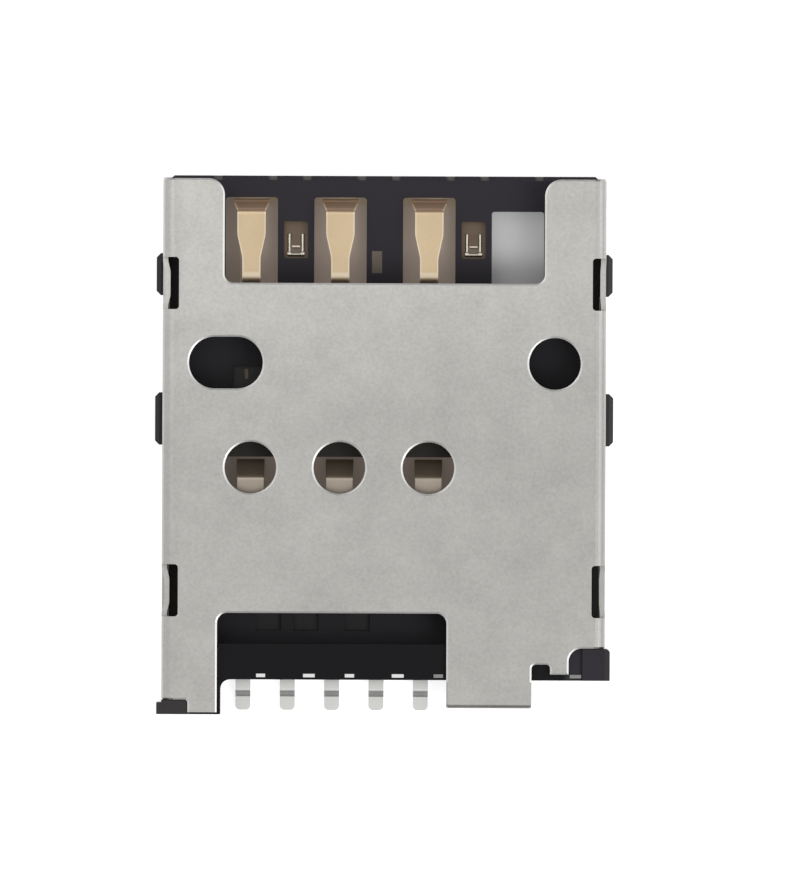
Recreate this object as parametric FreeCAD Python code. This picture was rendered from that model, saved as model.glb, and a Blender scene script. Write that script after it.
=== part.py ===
import FreeCAD, Part

import math
import os

from FreeCAD import Vector

# Surface-mount connector for a micro SIM card: a stamped steel shell over a moulded housing that
# holds six spring terminals. Millimetres. z = 0 is the board, +Y is the side where the card goes in.

# Card and its contact pads
card_width = 12.0
card_thickness = 0.76
card_chamfer = 2.5
pad_pitch = 2.54
pad_row_gap = 7.62
pad_side_shift = 0.12
pad_end_inset = 4.73
pad_columns = 4

# Card slot
card_side_play = 0.12
card_headroom = 0.09
key_clearance = 0.15

# Housing
floor_thickness = 0.50
rail_width = 0.20
rail_setback = 0.60
wall_gap = 0.04
seat_gap = 0.02
lip_reach = 1.03
rear_wall = 1.02
arm_reach = 1.00
arm_show = 0.09
arm_fillet = 0.30
front_corner = 0.12
lead_in = 0.14
lug_reach = 0.14
lug_rise = 0.11
lug_corner = 0.10
corner_lug_width = 0.78
foot_step = 0.09

# Windows in the housing's floor
window_width = 1.50
window_corner = 0.09
front_window_lead = 0.42
rear_window_lead = 0.61
spare_window_lead = 0.025
tip_clearance = 0.08
lance_window_width = 0.69
lance_window_length = 1.06
lance_window_setback = 0.27
peep_window_width = 0.29
peep_window_length = 0.64
peep_window_setback = 1.11
peep_window_offset = -0.22
hold_down_width = 1.06
hold_down_length = 0.80
hold_down_setback = 4.40
hold_down_depth = 0.12
hold_slit_width = 0.11
hold_slit_length = 0.30
hold_slit_offset = -0.14
hold_slit_setback = 0.09
stop_recesses = 3
stop_recess_width = 0.72
stop_recess_length = 0.75
stop_recess_setback = 0.37
stop_recess_depth = 0.10
stop_recess_shift = 0.53

# Side bosses that snap into the shell's walls
front_boss_reach = 0.195
rear_boss_reach = 0.225
boss_bevel = 0.12
boss_drop = 0.04
boss_height = 0.26
boss_edge = 0.10
boss_clearance = 0.03
front_boss_length = 1.20
front_boss_setback = 2.83
rear_boss_length = 1.50
rear_boss_setback = 6.96

# Shell sheet
shell_sheet = 0.15
shell_bend = 0.18
edge_break_width = 0.05
edge_break_depth = 0.03
ear_setback = 0.10
wall_lift = 0.05
wall_foot_length = 0.90
wall_foot_margin = 0.55
front_notch_margin = 0.76
front_notch_reach = 2.05
front_notch_mouth_radius = 0.47
front_notch_radius = 0.25
rear_notch_depth = 1.90
rear_notch_margin = 0.735
rear_notch_radius = 0.29
leg_setback = 0.06
foot_notch_width = 0.75
foot_notch_length = 0.42
foot_notch_radius = 0.10
rear_lip_width = 0.528
ground_tab_reach = 0.80
ground_tab_bend = 0.11
ground_leg_headroom = 0.28
ground_leg_side_gap = 0.30
pry_notch_width = 0.53
pry_notch_depth = 0.46
pry_notch_radius = 0.12
shell_rear_setback = 0.175
corner_cut_width = 1.037
corner_cut_length = 0.92
corner_cut_radius = 0.49

# Holes in the shell
pilot_diameter = 1.48
pilot_slot_length = 2.11
pilot_setback = 4.33
pilot_slot_inset = 1.81
pilot_hole_inset = 1.46
inspection_diameter = 1.48
inspection_lead = 0.30

# Side springs: wall strips bowed inwards beside slots in the fold
spring_length = 1.49
left_spring_slot = 0.315
right_spring_slot = 0.24
spring_slot_radius = 0.10
left_spring_bow = 0.065
right_spring_bow = 0.02
spring_lead = 0.13
spring_joggle = 0.27
spring_bend = 0.40
spring_height = 0.52
spring_drop = 0.01
front_spring_setback = 3.095
rear_spring_lead = 2.536

# Contact sheet
contact_sheet = 0.12
strip_share = 0.42
front_beam_width = 0.81
rear_beam_width = 0.755
neck_width = 0.52
root_width = 0.70
front_tip_width = 1.02
front_tip_reach = 0.37
rear_tip_width = 0.79
rear_tip_reach = 0.54
tip_flare = 0.26
tip_rise = 0.06
crest_rise = 0.42
crest_bend = 0.14
knee_rise = 0.30
knee_bend = 0.50
beam_straight = 0.66
taper_length = 0.66
taper_bend = 0.60
knee_reach = 1.98
root_reach = 2.92
lane_width = 0.40
jog_length = 0.40
jog_lead = 1.90
lance_plate_margin = 0.06
lance_width = 0.22
lance_length = 0.40
lance_tip_setback = 0.30
lance_rise = 0.12
lance_slit = 0.03
lance_opening_setback = 0.13
lance_rim_radius = 0.05
lance_end_radius = 0.08

# Solder tails and cut tie bars
tail_width = 0.43
tail_shift = 0.20
tail_reach = 0.89
covered_tail_reach = 0.70
tail_step_reach = 0.31
tail_step_length = 0.17
tail_corner = 0.13
tail_bend = 0.10
tail_root_lead = 0.60
tie_slot_setback = 0.045
tie_slot_length = 0.12
rear_row_tie_shift = 0.51
rear_row_tie_width = 0.27
front_row_tie_shift = 0.62
front_row_tie_width = 0.34
spare_stub_length = 0.30
front_stub_width = 0.25
front_stub_length = 0.22
front_stub_shifts = (-0.96, 0.60)
front_groove_depth = 0.13

# Levels
shell_underside = floor_thickness + card_thickness + card_headroom
shell_top = shell_underside + shell_sheet
strip_middle = strip_share * floor_thickness
strip_level = strip_middle - contact_sheet / 2
strip_top = strip_middle + contact_sheet / 2
crest_height = floor_thickness + crest_rise
knee_height = floor_thickness + knee_rise
boss_top = floor_thickness - boss_drop
boss_bottom = boss_top - boss_height
spring_top = shell_underside - shell_bend - spring_drop
spring_bottom = spring_top - spring_height

# Places along Y, with the origin midway between the front edge and the arm's end
overall_length = lip_reach + pad_row_gap + pad_end_inset + rear_wall + arm_reach
front_y = overall_length / 2
arm_y = -overall_length / 2
rear_y = arm_y + arm_reach
stop_y = rear_y + rear_wall
rear_row_y = stop_y + pad_end_inset
front_row_y = rear_row_y + pad_row_gap
window_end_lead = root_reach + tip_clearance

# Places along X, with the origin midway between the shell's walls
slot_width = card_width + card_side_play
shell_inside = wall_gap + rail_width + slot_width
shell_half = shell_inside / 2 + shell_sheet
housing_half = shell_inside / 2 - wall_gap
slot_left = -housing_half + rail_width
pad_columns_width = (pad_columns - 1) * pad_pitch
first_column_x = slot_left + (slot_width - pad_columns_width) / 2 - pad_side_shift
tail_pitch = pad_pitch / 2
tie_places = 2 * pad_columns
fitted_places = tie_places - 2

# Terminals from one side to the other: rear-row and front-row contacts take turns
terminal_names = (
    "contact_c5_ground",
    "contact_c1_supply",
    "contact_c6_program",
    "contact_c2_reset",
    "contact_c7_data",
    "contact_c3_clock",
)
lanced_terminals = ("contact_c1_supply", "contact_c3_clock")

overlap = 0.10
beyond = 1.0
same_place = 1e-6


def rounded_wire(corners, place):
    """Closed wire through corners (u, v, radius), with a tangent arc at each corner that has a radius."""
    points = [Vector(u, v, 0) for u, v, radius in corners]
    count = len(points)
    arcs = []
    for i, here in enumerate(points):
        back = points[i - 1] - here
        ahead = points[(i + 1) % count] - here
        half_angle = back.getAngle(ahead) / 2
        room = min(back.Length, ahead.Length) / 2
        radius = min(corners[i][2], room * math.tan(half_angle))
        reach = radius / math.tan(half_angle)
        back.normalize()
        ahead.normalize()
        if radius > 0:
            bisector = (back + ahead).normalize()
            middle = here + bisector * (radius / math.sin(half_angle) - radius)
            arcs.append((here + back * reach, middle, here + ahead * reach))
        else:
            arcs.append((here, None, here))
    edges = []
    for i, (start, middle, end) in enumerate(arcs):
        if middle is not None:
            edges.append(Part.Arc(place(start), place(middle), place(end)).toShape())
        following = arcs[(i + 1) % count][0]
        if (following - end).Length > same_place:
            edges.append(Part.LineSegment(place(end), place(following)).toShape())
    return Part.Wire(edges)


def sharp(points):
    """Corners with no radius."""
    return [(u, v, 0) for u, v in points]


def rectangle(x0, x1, y0, y1, radius=0.0):
    """Corners of a rectangle in plan, all with one radius."""
    return [(x0, y0, radius), (x1, y0, radius), (x1, y1, radius), (x0, y1, radius)]


def prism(corners, low, high):
    """Plan outline raised from one level to another."""
    wire = rounded_wire(corners, lambda p: Vector(p.x, p.y, low))
    return Part.Face(wire).extrude(Vector(0, 0, high - low))


def block(x0, x1, y0, y1, low, high):
    """Box between limits along X, Y and Z."""
    return Part.makeBox(x1 - x0, y1 - y0, high - low, Vector(x0, y0, low))


def across(corners, x0, x1):
    """Side profile of (y, z) corners carried along X."""
    wire = rounded_wire(corners, lambda p: Vector(x0, p.x, p.y))
    return Part.Face(wire).extrude(Vector(x1 - x0, 0, 0))


def along(corners, y0, y1):
    """Front profile of (x, z) corners carried along Y."""
    wire = rounded_wire(corners, lambda p: Vector(p.x, y0, p.y))
    return Part.Face(wire).extrude(Vector(0, y1 - y0, 0))


def sheet_profile(path, thickness):
    """Outline of a sheet of even thickness whose middle line runs through (u, v, bend radius) points."""
    half = thickness / 2
    points = [Vector(u, v, 0) for u, v, radius in path]
    normals = []
    for start, end in zip(points, points[1:]):
        heading = (end - start).normalize()
        normals.append(Vector(-heading.y, heading.x, 0))
    left = []
    right = []
    for i, point in enumerate(points):
        before = normals[max(i - 1, 0)]
        after = normals[min(i, len(normals) - 1)]
        bisector = (before + after).normalize()
        offset = bisector * (half / bisector.dot(before))
        radius = path[i][2]
        turn = before.cross(after).z
        inner = max(radius - half, 0)
        outer = radius + half if radius > 0 else 0
        left_radius, right_radius = (inner, outer) if turn > 0 else (outer, inner)
        left.append((point.x + offset.x, point.y + offset.y, left_radius))
        right.append((point.x - offset.x, point.y - offset.y, right_radius))
    return left + right[::-1]


def joined(solids):
    """One solid from overlapping or touching ones, with its flush faces merged."""
    return solids[0].multiFuse(solids[1:]).removeSplitter()


def column_x(column):
    """Middle of a column of pads."""
    return first_column_x + column * pad_pitch


def lane_x(column):
    """Middle of the web between a column of windows and the next one."""
    return column_x(column) + pad_pitch / 2


def tail_x(place):
    """Middle of a solder tail."""
    return first_column_x - tail_shift + place * tail_pitch


def tie_span(place):
    """Sides of the cut tie bar beside a tail: the two rows of contacts differ in its place and width."""
    if place % 2 == 0:
        middle, width = tail_x(place) + rear_row_tie_shift, rear_row_tie_width
    else:
        middle, width = tail_x(place) + front_row_tie_shift, front_row_tie_width
    return middle - width / 2, middle + width / 2


def terminal_sheet(row_y, tip_reach, x0, x1):
    """Bent strip of a terminal, as wide as its outline: tip, crest, beam, strip in the floor, tail."""
    path = [
        (row_y + tip_reach, strip_middle + tip_rise, 0),
        (row_y, crest_height, crest_bend),
        (row_y - knee_reach, knee_height, knee_bend),
        (row_y - root_reach, strip_middle, knee_bend),
        (rear_y - tail_step_reach, strip_middle, tail_bend),
        (rear_y - tail_step_reach - tail_step_length, contact_sheet / 2, tail_bend),
        (rear_y - tail_reach, contact_sheet / 2, 0),
    ]
    return across(sheet_profile(path, contact_sheet), x0, x1)


def beam_outline(x, row_y, beam_width, tip_width, tip_reach, end_y):
    """Plan of a contact beam: flared tip, crest, curved taper to the neck, root."""
    half_plan = [
        (tip_width, row_y + tip_reach, 0),
        (tip_width, row_y + tip_flare, 0),
        (beam_width, row_y, 0),
        (beam_width, row_y - beam_straight, taper_bend),
        (neck_width, row_y - beam_straight - taper_length, taper_bend),
        (neck_width, row_y - knee_reach, 0),
        (root_width, row_y - root_reach, 0),
        (root_width, end_y, 0),
    ]
    right = [(x + width / 2, y, radius) for width, y, radius in half_plan]
    left = [(x - width / 2, y, radius) for width, y, radius in half_plan]
    return right + left[::-1]


def tie_slot_span():
    """Rear and front ends of the slots through which the tie bars were punched out."""
    rear = rear_y + tie_slot_setback
    return rear, rear + tie_slot_length


def tail_outlines(place):
    """Plan of a terminal's end: the tail, and beside it the tie bar cut off flush with its slot."""
    x = tail_x(place)
    end_y = rear_y - (covered_tail_reach if place == fitted_places - 1 else tail_reach)
    tail = [
        (x - tail_width / 2, end_y, tail_corner),
        (x + tail_width / 2, end_y, tail_corner),
        (x + tail_width / 2, rear_y + tail_root_lead, 0),
        (x - tail_width / 2, rear_y + tail_root_lead, 0),
    ]
    bar_rear, bar_front = tie_slot_span()
    return [tail, rectangle(x, tie_span(place)[0], bar_rear, bar_front)]


def lance_rim(x, half, y0, y1):
    """Turned-up rim round three sides of the lanced opening: two round-topped legs and an end."""
    rims = []
    for side in (-1, 1):
        rims.append(Part.makeCylinder(lance_rim_radius, y1 - y0,
                                      Vector(x + side * half, y0, strip_top), Vector(0, 1, 0)))
    end_half = half + lance_rim_radius
    rims.append(Part.makeCylinder(lance_end_radius, 2 * end_half, Vector(x - end_half, y0, strip_top),
                                  Vector(1, 0, 0)))
    return rims


def lance_plate(column):
    """Forward end of a front-row lane: a plate under its window, with a tongue lanced out of it."""
    x = lane_x(column)
    window_front = front_row_y - lance_window_setback
    window_rear = window_front - lance_window_length
    half = lance_window_width / 2 + lance_plate_margin
    plate = prism(
        rectangle(x - half, x + half, window_rear - lance_plate_margin, window_front + lance_plate_margin),
        strip_level, strip_top)
    opening_rear = window_rear + lance_opening_setback
    tip_y = window_rear + lance_tip_setback
    root_y = tip_y + lance_length
    gap = lance_width / 2 + lance_slit
    opening = block(x - gap, x + gap, opening_rear, root_y, -beyond, shell_top)
    tongue = across(sheet_profile([
        (root_y + overlap, strip_middle, 0),
        (root_y, strip_middle, contact_sheet),
        (tip_y, strip_middle + lance_rise, 0),
    ], contact_sheet), x - lance_width / 2, x + lance_width / 2)
    rim = lance_rim(x, gap + lance_rim_radius, opening_rear, root_y)
    return [joined([plate] + rim).cut(opening), tongue]


def forward_lane(place, column):
    """Flat strip that runs forward from the jog to the lance plate, or nearly to the small window."""
    x = lane_x(column)
    jog_rear = rear_row_y + jog_lead
    if terminal_names[place] in lanced_terminals:
        end_y = front_row_y - lance_window_setback - lance_window_length
        ends = lance_plate(column)
    else:
        end_y = front_row_y - peep_window_setback - peep_window_length - lance_plate_margin
        ends = []
    lane = rectangle(x - lane_width / 2, x + lane_width / 2, jog_rear, end_y)
    return [prism(lane, strip_level, strip_top)] + ends


def terminal(place):
    """One stamped terminal: even places reach the rear row of pads, odd ones the front row."""
    column = place // 2
    x = column_x(column)
    tail_front = rear_y + tail_root_lead
    outlines = tail_outlines(place)
    forward = []
    if place % 2 == 0:
        row_y, tip_reach = rear_row_y, rear_tip_reach
        outlines.append(
            beam_outline(x, row_y, rear_beam_width, rear_tip_width, tip_reach, tail_front - overlap))
    else:
        row_y, tip_reach = front_row_y, front_tip_reach
        jog_rear = rear_row_y + jog_lead
        jog_front = jog_rear + jog_length
        lane_right = lane_x(column) + lane_width / 2
        outlines.append(beam_outline(x, row_y, front_beam_width, front_tip_width, tip_reach, jog_rear))
        outlines.append(rectangle(x, lane_right, jog_rear, jog_front))
        outlines.append(rectangle(lane_right - lane_width, lane_right, tail_front - overlap, jog_front))
        forward = forward_lane(place, column)
    plan = joined([prism(outline, -beyond, shell_top) for outline in outlines])
    box = plan.BoundBox
    bent = terminal_sheet(row_y, tip_reach, box.XMin - beyond, box.XMax + beyond)
    return joined([bent.common(plan)] + forward)


def front_stub_places():
    """Middles of the cut tie bars at the front edge, two for each column of pads."""
    return [column_x(column) + shift for column in range(pad_columns) for shift in front_stub_shifts]


def tie_bar_stubs():
    """Cut lead-frame ends that hold no contact: the front edge's and the two spare rear places'."""
    stubs = []
    for x in front_stub_places():
        half = front_stub_width / 2
        stubs.append(block(x - half, x + half, front_y - front_stub_length, front_y, strip_level, strip_top))
    for place in range(fitted_places, tie_places):
        left, right = tie_span(place)
        y0, y1 = tie_slot_span()
        stubs.append(block(left - spare_stub_length, left, y0, y1, strip_level, strip_top))
    return Part.makeCompound(stubs)


def boss_spans():
    """Rear and front ends of the side bosses along Y."""
    spans = []
    for length, setback in ((front_boss_length, front_boss_setback), (rear_boss_length, rear_boss_setback)):
        middle = front_y - setback
        spans.append((middle - length / 2, middle + length / 2))
    return spans


def spring_spans():
    """Rear and front ends of the side springs along Y."""
    spans = []
    for middle in (front_y - front_spring_setback, rear_y + rear_spring_lead):
        spans.append((middle - spring_length / 2, middle + spring_length / 2))
    return spans


def side_boss(side, y0, y1, reach):
    """Snap boss with bevelled ends and a sloping top for the shell's wall to ride over."""
    root = side * (housing_half - overlap)
    face = side * (shell_half + reach)
    shoulder = side * (shell_half + reach - boss_bevel)
    plan = prism(sharp([(root, y0), (shoulder, y0), (face, y0 + boss_bevel),
                        (face, y1 - boss_bevel), (shoulder, y1), (root, y1)]), 0, shell_top)
    profile = along(sharp([(root, boss_bottom), (face, boss_bottom), (face, boss_bottom + boss_edge),
                           (shoulder, boss_top), (root, boss_top)]), y0, y1)
    return plan.common(profile)


def floor_window(column, row_y, lead):
    """Window that a beam springs down through; the spare pads' windows have no beam."""
    x = column_x(column)
    half = window_width / 2
    return prism(rectangle(x - half, x + half, row_y - window_end_lead, row_y + lead, window_corner),
                 -beyond, shell_top)


def hold_down_recess(column):
    """Shallow recess where the mould holds the strip down, with a slit that shows the strip."""
    x = column_x(column)
    front = front_row_y - hold_down_setback
    rear = front - hold_down_length
    half = hold_down_width / 2
    recess = block(x - half, x + half, rear, front, floor_thickness - hold_down_depth, shell_top)
    slit_left = x + hold_slit_offset - hold_slit_width / 2
    slit_front = front - hold_slit_setback
    slit = block(slit_left, slit_left + hold_slit_width, slit_front - hold_slit_length, slit_front,
                 strip_top, shell_top)
    return [recess, slit]


def floor_openings():
    """Everything cut through or into the floor."""
    cuts = []
    for column in range(pad_columns - 1):
        cuts.append(floor_window(column, front_row_y, front_window_lead))
        cuts.append(floor_window(column, rear_row_y, rear_window_lead))
        cuts += hold_down_recess(column)
    for row_y in (front_row_y, rear_row_y):
        cuts.append(floor_window(pad_columns - 1, row_y, spare_window_lead))
    for place in range(1, fitted_places, 2):
        column = place // 2
        if terminal_names[place] in lanced_terminals:
            x, width = lane_x(column), lance_window_width
            front, length = front_row_y - lance_window_setback, lance_window_length
        else:
            x, width = lane_x(column) + peep_window_offset, peep_window_width
            front, length = front_row_y - peep_window_setback, peep_window_length
        cuts.append(prism(rectangle(x - width / 2, x + width / 2, front - length, front), -beyond, shell_top))
    for place in range(stop_recesses):
        x = tail_x(place) + stop_recess_shift + (tail_shift if place % 2 == 0 else 0)
        rear = stop_y + stop_recess_setback
        cuts.append(block(x - stop_recess_width / 2, x + stop_recess_width / 2, rear,
                          rear + stop_recess_length, floor_thickness - stop_recess_depth, shell_top))
    return cuts


def tie_openings():
    """Punched slots through the rear wall, and notches in the front lip over the cut tie bars."""
    openings = []
    slot_rear, slot_front = tie_slot_span()
    for place in range(tie_places):
        left, right = tie_span(place)
        openings.append(block(left, right, slot_rear, slot_front, -beyond, shell_top))
    for x in front_stub_places():
        half = front_stub_width / 2
        openings.append(block(x - half, x + half, front_y - front_groove_depth, front_y + beyond,
                              strip_top, shell_top))
    return openings


def housing_floor():
    """Floor plate with bevelled front corners and a lead-in slope along its front edge."""
    plan = sharp([
        (-housing_half, rear_y), (housing_half, rear_y),
        (housing_half, front_y - front_corner), (housing_half - front_corner, front_y),
        (front_corner - housing_half, front_y), (-housing_half, front_y - front_corner),
    ])
    slope = across(sharp([
        (front_y - lead_in, floor_thickness), (front_y + lead_in, floor_thickness - 2 * lead_in),
        (front_y + lead_in, floor_thickness)]), -shell_half, shell_half)
    return prism(plan, 0, floor_thickness).cut(slope)


def clear_of_folds(solid):
    """Bevels the upper side edges that would meet the inside of the shell's folds."""
    relief = shell_bend - wall_gap + seat_gap
    for side in (-1, 1):
        bevel = along(sharp([
            (side * (housing_half - relief), shell_underside),
            (side * (housing_half + relief), shell_underside - 2 * relief),
            (side * (housing_half + relief), shell_underside)]), arm_y - beyond, front_y)
        solid = solid.cut(bevel)
    return solid


def clear_of_springs(solid, half_width):
    """Cuts part of the housing back to a half width beside the shell's side springs."""
    for y0, y1 in spring_spans():
        for x0, x1 in ((-shell_half, -half_width), (half_width, shell_half)):
            solid = solid.cut(block(x0, x1, y0 - overlap, y1 + overlap, floor_thickness, shell_top))
    return solid


def card_stop():
    """Rear wall that the card meets, with the slanted key for the card's cut corner."""
    key = card_chamfer - key_clearance
    plan = sharp([
        (-housing_half, rear_y), (housing_half, rear_y), (housing_half, stop_y + key),
        (housing_half - key, stop_y), (-housing_half, stop_y),
    ])
    stop = clear_of_folds(prism(plan, 0, shell_underside))
    return clear_of_springs(stop, shell_inside / 2 - right_spring_bow - seat_gap)


def card_rail():
    """Rail along one side of the slot, left out beside the shell's side springs."""
    rail = block(-housing_half, slot_left, stop_y - overlap, front_y - rail_setback,
                 0, shell_underside - shell_bend - seat_gap)
    return clear_of_springs(rail, -slot_left)


def housing_arm():
    """Arm under the shell's leg, with the foot that stands up in the leg's corner notch."""
    right = rear_notch_left + arm_show
    arm = prism([
        (-housing_half, arm_y, 0), (right, arm_y, 0), (right, rear_y, arm_fillet),
        (right + beyond, rear_y, 0), (right + beyond, rear_y + overlap, 0),
        (-housing_half, rear_y + overlap, 0)], 0, shell_underside)
    notch_front = arm_y + foot_notch_length
    notch_right = foot_notch_width - shell_half
    foot = prism([
        (-shell_half - lug_reach, arm_y, 0), (notch_right - seat_gap, arm_y, 0),
        (notch_right - seat_gap, notch_front - seat_gap, foot_notch_radius),
        (-shell_half, notch_front - seat_gap, 0), (-shell_half, notch_front - foot_step, 0),
        (-shell_half - lug_reach, notch_front - foot_step, 0)], 0, shell_underside + lug_rise)
    return [clear_of_folds(arm), foot]


def corner_lug():
    """Upright lug that fills the cut corner of the shell and shows beside its wall."""
    front = rear_y + corner_cut_length - seat_gap
    right = shell_half + lug_reach
    lug = [(right - corner_lug_width, rear_y, 0), (right, rear_y, 0), (right, front, lug_corner),
           (right - corner_lug_width, front, 0)]
    return prism(lug, 0, shell_underside + lug_rise)


def housing(inserts):
    """Moulded housing, formed round the terminals and cut tie bars that lie in it."""
    solids = [housing_floor(), card_stop(), card_rail(), corner_lug()] + housing_arm()
    for (y0, y1), reach in zip(boss_spans(), (front_boss_reach, rear_boss_reach)):
        solids.append(side_boss(-1, y0, y1, reach))
        solids.append(side_boss(1, y0, y1, reach))
    moulded = joined(solids)
    return moulded.cut(floor_openings() + tie_openings() + inserts).removeSplitter()


rear_notch_left = tail_x(0) - rear_notch_margin
rear_notch_right = tail_x(fitted_places - 2) + rear_notch_margin
corner_cut_left = shell_half - corner_cut_width
pry_notch_right = corner_cut_left - rear_lip_width
ground_tab_right = pry_notch_right - pry_notch_width


def shell_outline():
    """Plan of the folded shell: ears and front notch, cut corner, grounding tab, rear notch and leg."""
    ear_y = front_y - ear_setback
    notch_left = column_x(0) - front_notch_margin
    notch_right = column_x(pad_columns - 1) + front_notch_margin
    notch_y = front_row_y - front_notch_reach
    shell_rear = rear_y + shell_rear_setback
    rear_notch_y = rear_y + rear_notch_depth
    leg_y = arm_y + leg_setback
    foot_notch_y = arm_y + foot_notch_length
    foot_notch_right = foot_notch_width - shell_half
    outside = shell_half + beyond
    tab_y = rear_y - ground_tab_reach + ground_tab_bend + shell_sheet
    return [
        (-outside, ear_y, 0),
        (notch_left, ear_y, front_notch_mouth_radius),
        (notch_left, notch_y, front_notch_radius),
        (notch_right, notch_y, front_notch_radius),
        (notch_right, ear_y, front_notch_mouth_radius),
        (outside, ear_y, 0),
        (outside, rear_y + corner_cut_length, 0),
        (corner_cut_left, rear_y + corner_cut_length, corner_cut_radius),
        (corner_cut_left, shell_rear, 0),
        (pry_notch_right, shell_rear, 0),
        (pry_notch_right, rear_y + pry_notch_depth, pry_notch_radius),
        (ground_tab_right, rear_y + pry_notch_depth, pry_notch_radius),
        (ground_tab_right, tab_y, 0),
        (rear_notch_right, tab_y, 0),
        (rear_notch_right, rear_notch_y, rear_notch_radius),
        (rear_notch_left, rear_notch_y, rear_notch_radius),
        (rear_notch_left, leg_y, 0),
        (foot_notch_right, leg_y, 0),
        (foot_notch_right, foot_notch_y, foot_notch_radius),
        (-outside, foot_notch_y, 0),
    ]


def shell_channel():
    """Top and two walls folded from one sheet, cut to the plan, with the grounding tab turned down."""
    wall_x = shell_half - shell_sheet / 2
    top_z = shell_top - shell_sheet / 2
    fold = shell_bend + shell_sheet / 2
    channel = along(sheet_profile([
        (-wall_x, 0, 0), (-wall_x, top_z, fold), (wall_x, top_z, fold), (wall_x, 0, 0),
    ], shell_sheet), arm_y, front_y)
    return channel.common(prism(shell_outline(), -beyond, shell_top + beyond))


def ground_leg():
    """Grounding tab's turned-down end: a leg to the board beside the tail that passes under the tab."""
    leg_y = rear_y - ground_tab_reach + shell_sheet / 2
    bend = ground_tab_bend + shell_sheet / 2
    top_z = shell_top - shell_sheet / 2
    leg = across(sheet_profile([
        (leg_y + shell_sheet / 2 + ground_tab_bend, top_z, 0), (leg_y, top_z, bend), (leg_y, 0, 0),
    ], shell_sheet), rear_notch_right, ground_tab_right)
    passage_right = tail_x(fitted_places - 1) + tail_width / 2 + ground_leg_side_gap
    passage = block(rear_notch_right - beyond, passage_right, leg_y - beyond, leg_y + beyond,
                    -beyond, strip_top + ground_leg_headroom)
    return leg.cut(passage)


def shell_holes():
    """Pilot slot, pilot hole and the inspection holes over the rear row of contacts."""
    pilot_y = front_row_y - pilot_setback
    radius = pilot_diameter / 2
    reach = pilot_slot_length / 2
    low = shell_underside - overlap
    slot_x = pilot_slot_inset - shell_half
    slot = rectangle(slot_x - reach, slot_x + reach, pilot_y - radius, pilot_y + radius, radius)
    tools = [prism(slot, low, shell_top + beyond)]
    centres = [(shell_half - pilot_hole_inset, pilot_y, radius)]
    for column in range(pad_columns - 1):
        centres.append((column_x(column), rear_row_y + inspection_lead, inspection_diameter / 2))
    for x, y, hole_radius in centres:
        tools.append(Part.makeCylinder(hole_radius, shell_sheet + beyond, Vector(x, y, low)))
    return tools


def wall_cuts():
    """Boss windows, and the relief that leaves the walls standing on short feet."""
    cuts = []
    foot_spans = []
    for side in (-1, 1):
        rear_end = arm_y + foot_notch_length if side < 0 else rear_y + corner_cut_length
        x0, x1 = sorted((side * (shell_half - shell_sheet - overlap), side * (shell_half + overlap)))
        for y0, y1 in boss_spans():
            cuts.append(block(x0, x1, y0 - boss_clearance, y1 + boss_clearance,
                              boss_bottom - boss_clearance, boss_top + boss_clearance))
        front_foot = front_y - ear_setback - wall_foot_margin
        rear_foot = rear_end + wall_foot_margin
        for y0, y1 in ((front_foot, front_y), (rear_foot + wall_foot_length, front_foot - wall_foot_length),
                       (arm_y, rear_foot)):
            foot_spans.append((x0, x1, y0, y1))
    return cuts + [block(x0, x1, y0, y1, -beyond, wall_lift) for x0, x1, y0, y1 in foot_spans]


def spring_cut(side, y0, y1):
    """Slot in the fold and the stretch of wall below it, taken out for a side spring."""
    slot_width_here = left_spring_slot if side < 0 else right_spring_slot
    inner = side * (shell_half - shell_sheet - slot_width_here)
    outer = side * (shell_half + beyond)
    x0, x1 = sorted((inner, outer))
    slot = prism(rectangle(x0, x1, y0, y1, spring_slot_radius), spring_top, shell_top + beyond)
    wall_x0, wall_x1 = sorted((side * (shell_half - shell_sheet - overlap), outer))
    return [slot, block(wall_x0, wall_x1, y0, y1, spring_bottom, spring_top)]


def side_spring(side, y0, y1):
    """Strip of wall joggled towards the card at both ends."""
    wall_x = side * (shell_half - shell_sheet / 2)
    bowed_x = wall_x - side * (left_spring_bow if side < 0 else right_spring_bow)
    rear_bend, front_bend = y0 + spring_lead, y1 - spring_lead
    strip = sheet_profile([
        (wall_x, y0 - overlap, 0), (wall_x, rear_bend, spring_bend),
        (bowed_x, rear_bend + spring_joggle, spring_bend), (bowed_x, front_bend - spring_joggle, spring_bend),
        (wall_x, front_bend, spring_bend), (wall_x, y1 + overlap, 0),
    ], shell_sheet)
    return prism(strip, spring_bottom, spring_top)


def cut_edges(sheet, level_first):
    """Sharp upper edges of the cut-outs and outline, with or without the level face as their first face."""
    fold_x = shell_half - shell_sheet - shell_bend
    edges = []
    for edge in sheet.Edges:
        box = edge.BoundBox
        level = abs(box.ZMin - shell_top) < same_place and abs(box.ZMax - shell_top) < same_place
        fold_line = box.XLength < same_place and abs(abs(box.XMin) - fold_x) < same_place
        bend_line = box.YLength < same_place and box.YMin < rear_y - ground_tab_bend
        if level and not fold_line and not bend_line:
            heights = [face.BoundBox.ZLength for face in sheet.ancestorsOfType(edge, Part.Face)]
            is_sharp = max(heights) > edge_break_depth + same_place
            if is_sharp and (heights[0] < heights[1]) == level_first:
                edges.append(edge)
    return edges


def rolled_edges(sheet):
    """Breaks the upper cut edges, wider than deep, as a stamping die leaves them."""
    sheet = sheet.makeChamfer(edge_break_width, edge_break_depth, cut_edges(sheet, True))
    late_edges = cut_edges(sheet, False)
    return sheet.makeChamfer(edge_break_depth, edge_break_width, late_edges) if late_edges else sheet


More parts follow.
